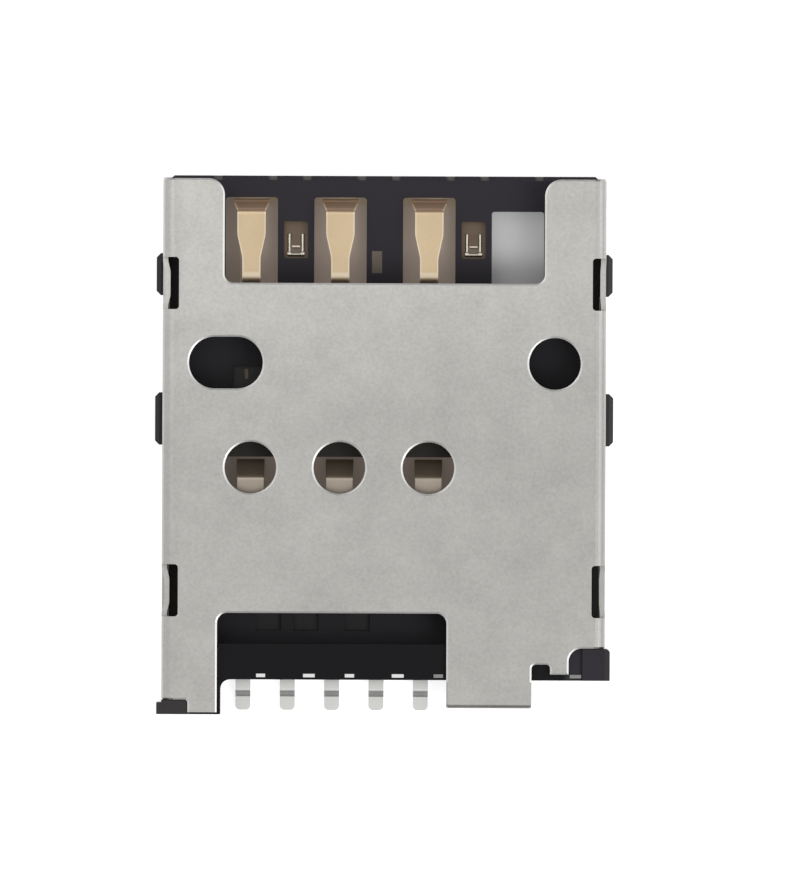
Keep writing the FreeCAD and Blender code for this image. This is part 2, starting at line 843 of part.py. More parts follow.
def shell():
    """Stamped shell: folded channel, holes, windows, side springs and the grounding leg."""
    sheet = rolled_edges(joined([shell_channel(), ground_leg()]).cut(shell_holes()))
    cuts = wall_cuts()
    springs = []
    for side in (-1, 1):
        for y0, y1 in spring_spans():
            cuts += spring_cut(side, y0, y1)
            springs.append(side_spring(side, y0, y1))
    return joined([sheet.cut(cuts)] + springs)


def main():
    os.makedirs("parts", exist_ok=True)
    terminals = [terminal(place) for place in range(fitted_places)]
    stubs = tie_bar_stubs()
    shapes = dict(zip(terminal_names, terminals))
    shapes["tie_bar_stubs"] = stubs
    shapes["housing"] = housing(terminals + stubs.Solids)
    shapes["shell"] = shell()
    for name, shape in shapes.items():
        shape.exportStep("parts/" + name + ".step")
        print(name, len(shape.Solids), "solid", round(shape.Volume, 3), "mm3", shape.isValid())


main()
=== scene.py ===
import math

import bpy
import numpy as np
from bpy.props import FloatProperty, FloatVectorProperty, PointerProperty
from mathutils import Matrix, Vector


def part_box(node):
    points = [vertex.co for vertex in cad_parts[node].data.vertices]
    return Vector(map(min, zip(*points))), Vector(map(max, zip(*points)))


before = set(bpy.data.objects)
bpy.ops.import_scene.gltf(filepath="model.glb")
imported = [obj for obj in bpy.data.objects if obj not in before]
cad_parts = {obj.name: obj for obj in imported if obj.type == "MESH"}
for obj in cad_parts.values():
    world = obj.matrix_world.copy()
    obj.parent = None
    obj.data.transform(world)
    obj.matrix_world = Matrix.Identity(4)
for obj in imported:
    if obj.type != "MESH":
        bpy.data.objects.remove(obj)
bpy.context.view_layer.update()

bl_info = {
    "name": "Card Connector Finishes",
    "version": (1, 0, 0),
    "blender": (4, 5, 0),
    "location": "View3D > Sidebar > Connector",
    "description": "Dresses a surface-mount card connector and lays out its stage",
    "category": "Object",
}

MM = 0.001
IMAGE_HEIGHT = 894

# Boxes of the pieces, from the frame
SHELL_LOW, SHELL_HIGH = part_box("shell")
HOUSING_LOW, HOUSING_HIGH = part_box("housing")
CONTACTS = [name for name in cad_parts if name.startswith("contact_")]
CONTACT_BOXES = [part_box(name) for name in CONTACTS]
CONTACTS_LEFT = min(low.x for low, high in CONTACT_BOXES)
CONTACTS_RIGHT = max(high.x for low, high in CONTACT_BOXES)

# Columns of contacts, and lines across the front row, counted back from its tips
PITCH = 2.54 * MM
FIRST_COLUMN = -1.5 * PITCH
TIP_Y = max(high.y for low, high in CONTACT_BOXES)
ROW_Y = TIP_Y - 0.37 * MM
FLARE_Y = ROW_Y + 0.26 * MM
TAPER_Y = ROW_Y - 0.66 * MM
NECK_Y = TAPER_Y - 0.66 * MM
DIP_FRONT_Y = ROW_Y - 1.74 * MM
DIP_REAR_Y = DIP_FRONT_Y - 0.15 * MM
LANCE_FRONT_Y = ROW_Y - 0.57 * MM
LANCE_REAR_Y = LANCE_FRONT_Y - 0.80 * MM
TONGUE_ROOT_Y = LANCE_FRONT_Y + 0.10 * MM
TONGUE_TIP_Y = LANCE_FRONT_Y - 0.40 * MM

# Line where the tails' tin starts, and the top of their feet
TAIL_FRONT_Y = HOUSING_LOW.y + 1.20 * MM
TAIL_FOOT_TOP = 0.20 * MM

# Half widths of the front contacts, and the width of their bright edges
TIP_HALF = 0.51 * MM
BEAM_HALF = 0.405 * MM
NECK_HALF = 0.26 * MM
FLARE_RIM = 0.04 * MM
ROLLED_RIM = 0.035 * MM

# Bands across the shell's folds, counted in from its sides
FOLD_OUTER = 0.10 * MM
FOLD_LINE = 0.12 * MM
FOLD_CURVE = 0.20 * MM
FOLD_INNER = 0.32 * MM
EDGE_SHADED = 0.25 * MM
EDGE_CLEAR = 0.75 * MM

# Lines along the shell: where painted light turns it paler, its front corner darkened as painted shade, and
# the tab with its bend, also darkened as painted shade
PALE_FRONT_Y = 5.5 * MM
CORNER_Y = 4.3 * MM
CORNER_END_Y = 9.0 * MM
TAB_Y = HOUSING_LOW.y + 0.95 * MM
TAB_BEND_Y = HOUSING_LOW.y + 0.31 * MM

# Places on the moulding
# Band over which the moulding's open faces turn paler towards the front, as painted light
LIT_FRONT_START_Y = 2.0 * MM
LIT_FRONT_FULL_Y = 6.0 * MM
LUG_DEPTH = 0.10 * MM
CORNER_LUG_X = 5.2 * MM, 7.0 * MM
CORNER_LUG_Y = -5.7 * MM
FOOT_X = -5.5 * MM
FOOT_Y = -7.25 * MM
# Lines over which the floor darkens towards the stop, as painted shade
STOP_SHADE_Y = -4.4 * MM
STOP_Y = -5.7 * MM
# Band of the floor that takes a painted reflection of the rear contacts' gold
REAR_GOLD_Y = -0.9 * MM, 0.6 * MM
SIDE_X = 5.75 * MM
RECESS_DEPTH = 0.05 * MM

# Places on the floor below the part
COVER_REAR_Y = HOUSING_LOW.y + 1.30 * MM
COVER_FRONT_Y = HOUSING_HIGH.y - 0.05 * MM
# Rear edge's slots, darkened as painted shade
REAR_SLOT_Y = HOUSING_LOW.y + 1.02 * MM
REAR_SLOT_X = 1.3 * MM, 6.0 * MM
# Line past which the floor below the tips takes their painted reflection
TIP_SHADE_Y = 6.85 * MM
# Width by the first window's outer side that is darkened as painted shade
FIRST_WINDOW_SIDE = 0.18 * MM
# Half width of the web between the middle columns, where the painted light below the part is weaker
MIDDLE_WEB = 0.45 * MM
# Lines over which the painted light below the part fades as painted shade towards the shell's edge
DEEP_Y = 4.85 * MM
LIGHT_Y = 5.75 * MM

# How far up a face looks: 1 for level, 0 for upright, -1 for the underside
RIM_LEAN = 0.80, 0.95
CUT_LEAN = -0.3, 0.3
CREST_LEAN = 0.86, 0.97
RECESS_LEAN = 0.9
TAB_LEAN = 0.2
UNDER_LEAN = -0.5

# How far down a cut face its torn part starts, as a share of the sheet
TORN_FROM = 0.55

# Fineness of the grain's clouds against its specks
CLOUD_FINENESS = 0.07

# How far towards the ends the background starts to darken for metal, and is darkest
END_HEADING = 0.3, 0.95

# Strength or brightness of a place against the colour it is made from
# Painted highlight along the curve of the shell's right fold
FOLD_SHINE = 0.26
# Painted highlight on the front beams' rolled edges and dip
GLINT_STRENGTH = 0.55
# Painted light on the right bosses, which face the softbox
BOSS_PALENESS = 0.8
# Painted shade on the floor next to the stop
STOP_LEVEL = 0.94
SIDE_LEVEL = 0.4
# Painted highlight on the flared tips' edges
FLARE_LEVEL = 1.25
# Painted light on the tips' front ends
TIP_END_LEVEL = 1.7
TIN_FOOT_LEVEL = 0.93
# Painted shade on the tails' leaning faces
TIN_SLOPE_LEVEL = 0.87
# Painted shade on the tie bars in the front edge's notches
NOTCH_TIN_LEVEL = 0.165
# Painted shade on the floor by the first window's outer side
FIRST_WINDOW_LEVEL = 0.80

# Share of the painted window light on the deep floor away from the columns, by the columns, and at the front
WEB_GLOW = 0.25
COLUMN_GLOW = 0.95
FRONT_GLOW = 1.3


class ConnectorFinish(bpy.types.PropertyGroup):
    """Colours and grain of the connector's metals and plastic."""

    steel: FloatVectorProperty(
        name="Shell steel", description="Colour of the satin steel sheet",
        subtype="COLOR", min=0, max=1, default=(0.437, 0.428, 0.407))
    # Burnished edges round the cut-outs, brightened further by a painted highlight
    rim_burnish_and_highlight: FloatVectorProperty(
        name="Rolled edge", description="Colour of the burnished edges round the shell's cut-outs",
        subtype="COLOR", min=0, max=1, default=(0.84, 0.835, 0.82))
    steel_shear: FloatVectorProperty(
        name="Sheared edge", description="Colour of the torn lower part of the sheet's cut faces",
        subtype="COLOR", min=0, max=1, default=(0.26, 0.25, 0.24))
    plastic: FloatVectorProperty(
        name="Housing plastic", description="Colour of the black moulding",
        subtype="COLOR", min=0, max=1, default=(0.0105, 0.0105, 0.0120))
    plastic_floor: FloatVectorProperty(
        name="Floor plastic", description="Colour of the moulding's floor under the shell",
        subtype="COLOR", min=0, max=1, default=(0.034, 0.0325, 0.0365))
    plastic_recess: FloatVectorProperty(
        name="Recess plastic", description="Colour of the moulding in the shallow recesses of its floor",
        subtype="COLOR", min=0, max=1, default=(0.085, 0.081, 0.080))
    # Painted reflection of the rear contacts' gold on the moulding next to them; the sides are warm too
    plastic_warm_and_reflection: FloatVectorProperty(
        name="Warm plastic", description="Colour of the moulding next to the rear row of contacts",
        subtype="COLOR", min=0, max=1, default=(0.062, 0.056, 0.051))
    # Painted light: the moulding's open faces are paler because they lie open to the lamps; their specks
    # come from the grain
    plastic_lit: FloatVectorProperty(
        name="Plastic bloom", description="Colour of the dull, fibrous skin on the moulding's open faces",
        subtype="COLOR", min=0, max=1, default=(0.043, 0.0385, 0.0465))
    # Palest plastic: on the right bosses it is painted light from the softbox on the right; the foot is
    # simply paler
    plastic_pale: FloatVectorProperty(
        name="Pale plastic", description="Colour of the moulding's palest faces: its foot and right bosses",
        subtype="COLOR", min=0, max=1, default=(0.058, 0.0535, 0.054))
    gold: FloatVectorProperty(
        name="Contact gold", description="Colour of the plated contact beams",
        subtype="COLOR", min=0, max=1, default=(0.583, 0.456, 0.296))
    # Painted highlight along the front beams' rolled edges and across their dip
    glint: FloatVectorProperty(
        name="Contact glint", description="Colour of the contact beams along their rolled edges",
        subtype="COLOR", min=0, max=1, default=(0.80, 0.70, 0.56))
    # Painted shade: the rear row's gold, dimmed where the shell covers it
    shaded_gold: FloatVectorProperty(
        name="Rear contact gold", description="Colour of the thinner plating on the rear row of contacts",
        subtype="COLOR", min=0, max=1, default=(0.36, 0.31, 0.255))
    # Bare alloy where the contacts lean, darkened as painted shade
    bronze: FloatVectorProperty(
        name="Contact bronze", description="Colour of the bare alloy below the plated crests",
        subtype="COLOR", min=0, max=1, default=(0.37, 0.237, 0.152))
    rear_bronze: FloatVectorProperty(
        name="Rear contact bronze", description="Colour of the rear row's bare alloy, dimmed by the shell",
        subtype="COLOR", min=0, max=1, default=(0.22, 0.17, 0.12))
    # Bare alloy lying low in the windows, darker still as painted shade
    strip: FloatVectorProperty(
        name="Strip bronze", description="Colour of the bare strips that lie low in the floor's windows",
        subtype="COLOR", min=0, max=1, default=(0.165, 0.111, 0.069))
    # Burnished rim of the lanced openings with a painted highlight
    burnish_highlight: FloatVectorProperty(
        name="Lance rim", description="Colour of the burnished rim of the lanced openings",
        subtype="COLOR", min=0, max=1, default=(0.66, 0.60, 0.50))
    tin: FloatVectorProperty(
        name="Tail tin", description="Colour of the plated solder tails and cut tie bars",
        subtype="COLOR", min=0, max=1, default=(0.66, 0.66, 0.64))
    steel_grain: FloatProperty(
        name="Steel grain", description="Size of the grain in the rolled sheet",
        unit="LENGTH", min=0, default=0.09 * MM)
    plastic_grain: FloatProperty(
        name="Plastic grain", description="Size of the fibres in the moulding's skin",
        unit="LENGTH", min=0, default=0.07 * MM)
    plating_grain: FloatProperty(
        name="Plating grain", description="Size of the grain in the plated contacts",
        unit="LENGTH", min=0, default=0.05 * MM)
    floor_level: FloatProperty(
        name="Floor level", description="Height of the housing's floor over the board",
        unit="LENGTH", min=0, default=0.50 * MM)
    strip_level: FloatProperty(
        name="Strip level", description="Height of the flat strips moulded into the floor",
        unit="LENGTH", min=0, default=0.27 * MM)
    lance_place: FloatProperty(
        name="Lance place", description="Distance of the lanced openings from the middle",
        unit="LENGTH", min=0, default=PITCH)
    lance_half: FloatProperty(
        name="Lance half width", description="Half the width of the lanced tongues",
        unit="LENGTH", min=0, default=0.125 * MM)
    sheet: FloatProperty(
        name="Shell sheet", description="Thickness of the shell's sheet",
        unit="LENGTH", min=0, default=0.15 * MM)
    fold: FloatProperty(
        name="Fold width", description="Width of the folds along the shell's sides",
        unit="LENGTH", min=0, default=0.33 * MM)


class ConnectorStage(bpy.types.PropertyGroup):
    """Camera, floor and light."""

    scale: FloatProperty(
        name="Pixels per metre", description="Image pixels for each metre at the shell's top",
        min=1, default=35.05 / MM)
    centre: FloatVectorProperty(
        name="View centre", description="Point of the connector in the middle of the image",
        size=2, unit="LENGTH", default=(0.458 * MM, -0.049 * MM))
    distance: FloatProperty(
        name="Camera distance", description="Height of the camera over the shell",
        unit="LENGTH", min=0, default=400 * MM)
    roll: FloatProperty(
        name="Camera roll", description="Turn of the camera about its line of sight",
        unit="ROTATION", default=0.0042)
    sensor: FloatProperty(
        name="Sensor size", description="Long side of the camera's sensor, in its own millimetres",
        min=1, default=36.0)
    floor_size: FloatProperty(
        name="Floor size", description="Side of the square floor",
        unit="LENGTH", min=0, default=1.2)
    floor_gap: FloatProperty(
        name="Floor gap", description="Drop from the connector's feet to the floor",
        unit="LENGTH", min=0, default=0.01 * MM)
    floor_colour: FloatVectorProperty(
        name="Floor colour", description="Colour of the pale floor",
        subtype="COLOR", min=0, max=1, default=(0.80, 0.80, 0.81))
    # Painted reflection of the contacts' gold on the floor below them
    contact_tint: FloatVectorProperty(
        name="Tint under contacts", description="Tint that the contacts throw on the floor below them",
        subtype="COLOR", min=0, max=1, default=(0.74, 0.61, 0.51))
    # Painted reflection of the tips' gold on the floor below them
    tip_tint: FloatVectorProperty(
        name="Tint under tips", description="Tint that the contacts' tips throw on the floor below them",
        subtype="COLOR", min=0, max=1, default=(0.72, 0.58, 0.42))
    # Painted light: a glow on the floor below the part that stands in for the light through its windows
    window_glow: FloatProperty(
        name="Window level", description="Brightness that the background adds to the floor below the part",
        min=0, max=1, default=0.10)
    # Painted shade: the rear edge's slots get less glow, shaded by the tab
    slot_glow: FloatProperty(
        name="Rear slot level", description="Brightness that the background adds in the rear edge's slots",
        min=0, max=1, default=0.25)
    floor_glow: FloatProperty(
        name="Backdrop level", description="Brightness that the background adds to the open floor",
        min=0, max=1, default=0.75)
    end_level: FloatProperty(
        name="End level", description="Brightness of the surroundings that metal shows from the two ends",
        min=0, max=1, default=0.22)
    ambient: FloatProperty(
        name="Ambient level", description="Brightness of the light from all round",
        min=0, default=0.55)
    key: FloatProperty(
        name="Softbox level", description="Brightness of the softbox's face",
        min=0, default=3.0)
    key_size: FloatProperty(
        name="Softbox size", description="Side of the square softbox",
        unit="LENGTH", min=0, default=0.05)
    key_place: FloatVectorProperty(
        name="Softbox place", description="Middle of the softbox",
        size=3, unit="LENGTH", default=(0.050, -0.040, 0.070))
    card: FloatProperty(
        name="Card level", description="Brightness of the card that only metal shows",
        min=0, default=4.0)
    card_size: FloatProperty(
        name="Card size", description="Side of the square card",
        unit="LENGTH", min=0, default=0.03)
    card_place: FloatVectorProperty(
        name="Card place", description="Middle of the card",
        size=3, unit="LENGTH", default=(-0.030, 0.035, 0.060))


def fill(tree, socket, value):
    """Links a socket to the input, or sets the input to a number or colour."""
    if isinstance(value, bpy.types.NodeSocket):
        tree.links.new(value, socket)
    else:
        socket.default_value = value


def put(tree, kind, settings=None, **sockets):
    """Adds a node and fills in its settings and, by name, its inputs."""
    node = tree.nodes.new(kind)
    for key, value in (settings or {}).items():
        setattr(node, key, value)
    for key, value in sockets.items():
        name = key.replace("_", " ")
        fill(tree, next(s for s in node.inputs if s.name == name and s.enabled), value)
    return node


def maths(tree, operation, *values):
    """Math node of up to three values or sockets; puts out its value."""
    node = tree.nodes.new("ShaderNodeMath")
    node.operation = operation
    for socket, value in zip(node.inputs, values):
        fill(tree, socket, value)
    return node.outputs[0]


def over(tree, value, limit):
    """Mask that is 1 where the value is greater than the limit."""
    return maths(tree, "GREATER_THAN", value, limit)


def under(tree, value, limit):
    """Mask that is 1 where the value is less than the limit."""
    return maths(tree, "LESS_THAN", value, limit)


def product(tree, *masks):
    """Masks multiplied together."""
    result = masks[0]
    for mask in masks[1:]:
        result = maths(tree, "MULTIPLY", result, mask)
    return result


def either(tree, *masks):
    """The greatest of the masks."""
    result = masks[0]
    for mask in masks[1:]:
        result = maths(tree, "MAXIMUM", result, mask)
    return result


def ramp(tree, value, start, end, first=0.0, last=1.0, curve="SMOOTHSTEP"):
    """Goes from first to last as the value goes from start to end, and stays there outside them."""
    return put(tree, "ShaderNodeMapRange", {"interpolation_type": curve}, Value=value, From_Min=start,
               From_Max=end, To_Min=first, To_Max=last).outputs[0]


def remap(tree, value, low, high):
    """Value from 0..1 carried to low..high."""
    return ramp(tree, value, 0.0, 1.0, low, high, "LINEAR")


def between(tree, value, low, high, soft):
    """Mask that is 1 where value lies between low and high, with edges as wide as soft."""
    rise = ramp(tree, value, low - soft / 2, low + soft / 2)
    fall = ramp(tree, value, high - soft / 2, high + soft / 2, 1.0, 0.0)
    return product(tree, rise, fall)


def blend(tree, mask, first, second, mode="MIX"):
    """Colour that goes from the first to the second as the mask goes from 0 to 1."""
    node = put(tree, "ShaderNodeMix", {"data_type": "RGBA", "blend_type": mode}, Factor=mask)
    for socket, value in zip([s for s in node.inputs if s.type == "RGBA"], (first, second)):
        fill(tree, socket, value if isinstance(value, bpy.types.NodeSocket) else (*value, 1.0))
    return next(s for s in node.outputs if s.type == "RGBA")


def times(colour, factor):
    """Plain colour made brighter or dimmer."""
    return [factor * part for part in colour]


def toned(tree, colour, level):
    """Colour made brighter or dimmer by a socket."""
    node = put(tree, "ShaderNodeVectorMath", {"operation": "SCALE"}, Scale=level)
    fill(tree, node.inputs[0], colour)
    return node.outputs[0]


def grain_group():
    """Node group for metal and plastic grain: coarse clouds and fine specks from two noises.

    Tone is centred on a half, and Height is the fine noise alone."""
    if "surface_grain" in bpy.data.node_groups:
        return bpy.data.node_groups["surface_grain"]
    group = bpy.data.node_groups.new("surface_grain", "ShaderNodeTree")
    group.interface.new_socket("Vector", in_out="INPUT", socket_type="NodeSocketVector")
    group.interface.new_socket("Fineness", in_out="INPUT", socket_type="NodeSocketFloat")
    group.interface.new_socket("Cloud Share", in_out="INPUT", socket_type="NodeSocketFloat")
    group.interface.new_socket("Tone", in_out="OUTPUT", socket_type="NodeSocketFloat")
    group.interface.new_socket("Height", in_out="OUTPUT", socket_type="NodeSocketFloat")
    entry = group.nodes.new("NodeGroupInput")
    leave = group.nodes.new("NodeGroupOutput")
    fine = put(group, "ShaderNodeTexNoise", Vector=entry.outputs["Vector"],
               Scale=entry.outputs["Fineness"], Detail=3.0, Roughness=0.6)
    broad = maths(group, "MULTIPLY", entry.outputs["Fineness"], CLOUD_FINENESS)
    cloud = put(group, "ShaderNodeTexNoise", Vector=entry.outputs["Vector"], Scale=broad, Detail=4.0,
                Roughness=0.55)
    tone = put(group, "ShaderNodeMix", Factor=entry.outputs["Cloud Share"],
               A=fine.outputs[0], B=cloud.outputs[0])
    group.links.new(tone.outputs[0], leave.inputs["Tone"])
    group.links.new(fine.outputs[0], leave.inputs["Height"])
    return group


def new_finish(name):
    """Material with a Principled surface, its Object coordinates, and the same split by axis."""
    material = bpy.data.materials.new(name)
    material.use_nodes = True
    tree = material.node_tree
    shader = next(n for n in tree.nodes if n.type == "BSDF_PRINCIPLED")
    place = tree.nodes.new("ShaderNodeTexCoord").outputs["Object"]
    axes = put(tree, "ShaderNodeSeparateXYZ", Vector=place).outputs
    return material, tree, shader, place, axes


def grain(tree, place, size, cloud_share):
    """Grain group placed in a material: its tone and height."""
    node = put(tree, "ShaderNodeGroup", {"node_tree": grain_group()}, Vector=place, Fineness=1 / size,
               Cloud_Share=cloud_share)
    return node.outputs["Tone"], node.outputs["Height"]


def lean(tree):
    """How far a face looks along +X, +Y and up."""
    normal = tree.nodes.new("ShaderNodeNewGeometry").outputs["True Normal"]
    return put(tree, "ShaderNodeSeparateXYZ", Vector=normal).outputs


def surface(tree, shader, colour, roughness, height, strength, depth):
    """Gives the shader its colour and roughness, and bump from a height."""
    bump = put(tree, "ShaderNodeBump", Strength=strength, Distance=depth, Height=height)
    fill(tree, shader.inputs["Base Color"], colour)
    fill(tree, shader.inputs["Roughness"], roughness)
    fill(tree, shader.inputs["Normal"], bump.outputs[0])


def painted_steel_light(tree, x, y, facing, on_top):
    """Painted light and shade on the sheet by place: paler to the front and left, dimmer on the folds and
    the tab's bend.
    """
    # Painted light: paler towards the front and the left
    forward = ramp(tree, y, 0.0, PALE_FRONT_Y, first=0.95, last=1.11)
    sideways = ramp(tree, x, SHELL_LOW.x, SHELL_HIGH.x, first=1.03, last=0.97, curve="LINEAR")
    outer_fold = over(tree, maths(tree, "ABSOLUTE", x), SHELL_HIGH.x - FOLD_OUTER)
    inner_fold = between(tree, x, SHELL_HIGH.x - FOLD_INNER, SHELL_HIGH.x - FOLD_CURVE, soft=0.06 * MM)
    left_edge = ramp(tree, x, SHELL_LOW.x + EDGE_CLEAR, SHELL_LOW.x + EDGE_SHADED)
    left_corner = product(tree, left_edge, between(tree, y, CORNER_Y, CORNER_END_Y, soft=1.0 * MM))
    # Painted shade on the folds, along the left edge and at the front-left corner
    dimmed = ((outer_fold, 0.88), (inner_fold, 0.91), (left_edge, 0.96), (left_corner, 0.92))
    levels = [remap(tree, product(tree, on_top, mask), 1.0, level) for mask, level in dimmed]
    # Painted shade on the tab's bend
    tab_bend = product(tree, over(tree, x, 0.0), over(tree, facing, TAB_LEAN), under(tree, y, TAB_BEND_Y))
    return product(tree, forward, sideways, *levels, remap(tree, tab_bend, 1.0, 0.68))


def satin_steel(finish):
    """Rolled sheet: grain, painted light and shade by place, burnished rims round the cut-outs with a
    painted highlight, a painted highlight along the right fold, and a torn lower part on the cut faces.
    """
    material, tree, shader, place, (x, y, z) = new_finish("satin_steel")
    tone, height = grain(tree, place, finish.steel_grain, cloud_share=0.45)
    aside, _, facing = lean(tree)
    flat_half = SHELL_HIGH.x - finish.fold
    on_flat = between(tree, x, -flat_half, flat_half, soft=0.02 * MM)
    on_top = over(tree, z, SHELL_HIGH.z - finish.sheet)
    off_tab = either(tree, under(tree, x, 0.0), over(tree, y, TAB_Y))
    cut = product(tree, on_flat, on_top, off_tab)
    # Painted highlight: the rims are brightest where they face the softbox on the right
    lit = ramp(tree, aside, -0.5, 0.5, first=0.45, last=1.0, curve="LINEAR")
    rim = product(tree, between(tree, facing, *RIM_LEAN, soft=0.04), cut, lit)
    # Painted highlight along the right fold's curve
    fold_line = between(tree, x, SHELL_HIGH.x - FOLD_CURVE, SHELL_HIGH.x - FOLD_LINE, soft=0.03 * MM)
    bright = either(tree, rim, product(tree, on_top, fold_line, FOLD_SHINE))
    upright = between(tree, facing, *CUT_LEAN, soft=0.1)
    torn = product(tree, upright, under(tree, z, SHELL_HIGH.z - TORN_FROM * finish.sheet), cut)
    level = product(tree, remap(tree, tone, 0.67, 1.33), painted_steel_light(tree, x, y, facing, on_top))
    cut_face = blend(tree, torn, toned(tree, finish.steel, level), finish.steel_shear)
    surface(tree, shader, blend(tree, bright, cut_face, finish.rim_burnish_and_highlight), remap(tree, tone, 0.34, 0.50),
            height, strength=0.12, depth=0.004 * MM)
    shader.inputs["Metallic"].default_value = 1.0
    return material


def open_faces(tree, x, y, z, facing):
    """Masks of the moulding's open faces, which are painted paler as painted light, and of the palest among
    them.
    """
    front = ramp(tree, y, LIT_FRONT_START_Y, LIT_FRONT_FULL_Y)
    below = under(tree, facing, UNDER_LEAN)
    top_lug = over(tree, z, SHELL_HIGH.z - LUG_DEPTH)
    corner_lug = product(tree, between(tree, x, *CORNER_LUG_X, soft=0.2 * MM), under(tree, y, CORNER_LUG_Y))
    foot = product(tree, under(tree, x, FOOT_X), under(tree, y, FOOT_Y))
    boss = over(tree, maths(tree, "ABSOLUTE", x), SHELL_HIGH.x)
    right_boss = over(tree, x, SHELL_HIGH.x)
    palest = either(tree, foot, product(tree, right_boss, BOSS_PALENESS))
    return either(tree, front, below, top_lug, corner_lug, foot, boss), palest


def floor_skin(tree, finish, y, z, facing, beside):
    """Colour of the moulding's floor: darker towards the stop as painted shade, paler in its recesses, warm
    by the rear contacts as a painted reflection of their gold, and warm at the sides.
    """
    near_stop = ramp(tree, y, STOP_SHADE_Y, STOP_Y, curve="LINEAR")
    floor = blend(tree, near_stop, finish.plastic_floor, times(finish.plastic_floor, STOP_LEVEL))
    sunk = product(tree, under(tree, z, finish.floor_level - RECESS_DEPTH), over(tree, facing, RECESS_LEAN))
    recess = product(tree, sunk, remap(tree, over(tree, y, 0.0), 0.25, 1.0))
    floor = blend(tree, recess, floor, finish.plastic_recess)
    near_gold = between(tree, y, *REAR_GOLD_Y, soft=0.6 * MM)
    return blend(tree, either(tree, near_gold, beside), floor, finish.plastic_warm_and_reflection)


def black_moulding(finish):
    """Fibre-filled plastic: near black, dull, paler on open faces as painted light, with fine specks."""
    material, tree, shader, place, (x, y, z) = new_finish("black_moulding")
    tone, height = grain(tree, place, finish.plastic_grain, cloud_share=0.35)
    facing = lean(tree)[2]
    open_face, palest = open_faces(tree, x, y, z, facing)
    beside = over(tree, maths(tree, "ABSOLUTE", x), SIDE_X)
    upper = blend(tree, beside, finish.plastic, times(finish.plastic, SIDE_LEVEL))
    low = under(tree, z, finish.floor_level + 0.02 * MM)
    skin = blend(tree, low, upper, floor_skin(tree, finish, y, z, facing, beside))
    # Open faces take the paler painted-light colour, and the palest faces paler still
    painted_tone = blend(tree, palest, finish.plastic_lit, finish.plastic_pale)
    speckled = product(tree, open_face, remap(tree, tone, 0.5, 1.4))
    surface(tree, shader, blend(tree, speckled, skin, painted_tone), remap(tree, tone, 0.42, 0.66),
            height, strength=0.25, depth=0.006 * MM)
    shader.inputs["Specular IOR Level"].default_value = 0.08
    return material


def lance_marks(tree, finish, x, y, z):
    """Masks of the lanced openings' burnished rim with the tongue's tip, which carry a painted highlight,
    and of the metal that lies low, which is darkened as painted shade.
    """
    across = maths(tree, "SUBTRACT", maths(tree, "ABSOLUTE", x), finish.lance_place)
    off_tongue = over(tree, maths(tree, "ABSOLUTE", across), finish.lance_half)
    raised = between(tree, z, finish.strip_level + 0.015 * MM, finish.floor_level, soft=0.01 * MM)
    rim = product(tree, between(tree, y, LANCE_REAR_Y, LANCE_FRONT_Y, soft=0.02 * MM), raised,
                  either(tree, off_tongue, under(tree, y, TONGUE_TIP_Y)))
    tongue = product(tree, between(tree, y, LANCE_REAR_Y, TONGUE_ROOT_Y, soft=0.02 * MM),
                     under(tree, z, finish.floor_level))
    return rim, either(tree, tongue, under(tree, z, finish.strip_level + 0.01 * MM))


def beam_edges(tree, x, y):
    """Masks of the painted highlights on the flared tips' edges, and on the front beams' rolled edges and
    dip.

    A point is on an edge where its distance from its column nears the beam's half width at its line."""
    off_column = maths(tree, "PINGPONG", maths(tree, "SUBTRACT", x, FIRST_COLUMN), PITCH / 2)
    tip_half = ramp(tree, y, ROW_Y, FLARE_Y, BEAM_HALF, TIP_HALF, "LINEAR")
    flare = product(tree, between(tree, y, ROW_Y + 0.02 * MM, FLARE_Y - 0.01 * MM, soft=0.03 * MM),
                    over(tree, off_column, maths(tree, "SUBTRACT", tip_half, FLARE_RIM)))
    beam_half = ramp(tree, y, NECK_Y, TAPER_Y, NECK_HALF, BEAM_HALF, "LINEAR")
    rolled = over(tree, off_column, maths(tree, "SUBTRACT", beam_half, ROLLED_RIM))
    dip = between(tree, y, DIP_REAR_Y, DIP_FRONT_Y, soft=0.08 * MM)
    return flare, product(tree, either(tree, rolled, dip), over(tree, y, 0.0))


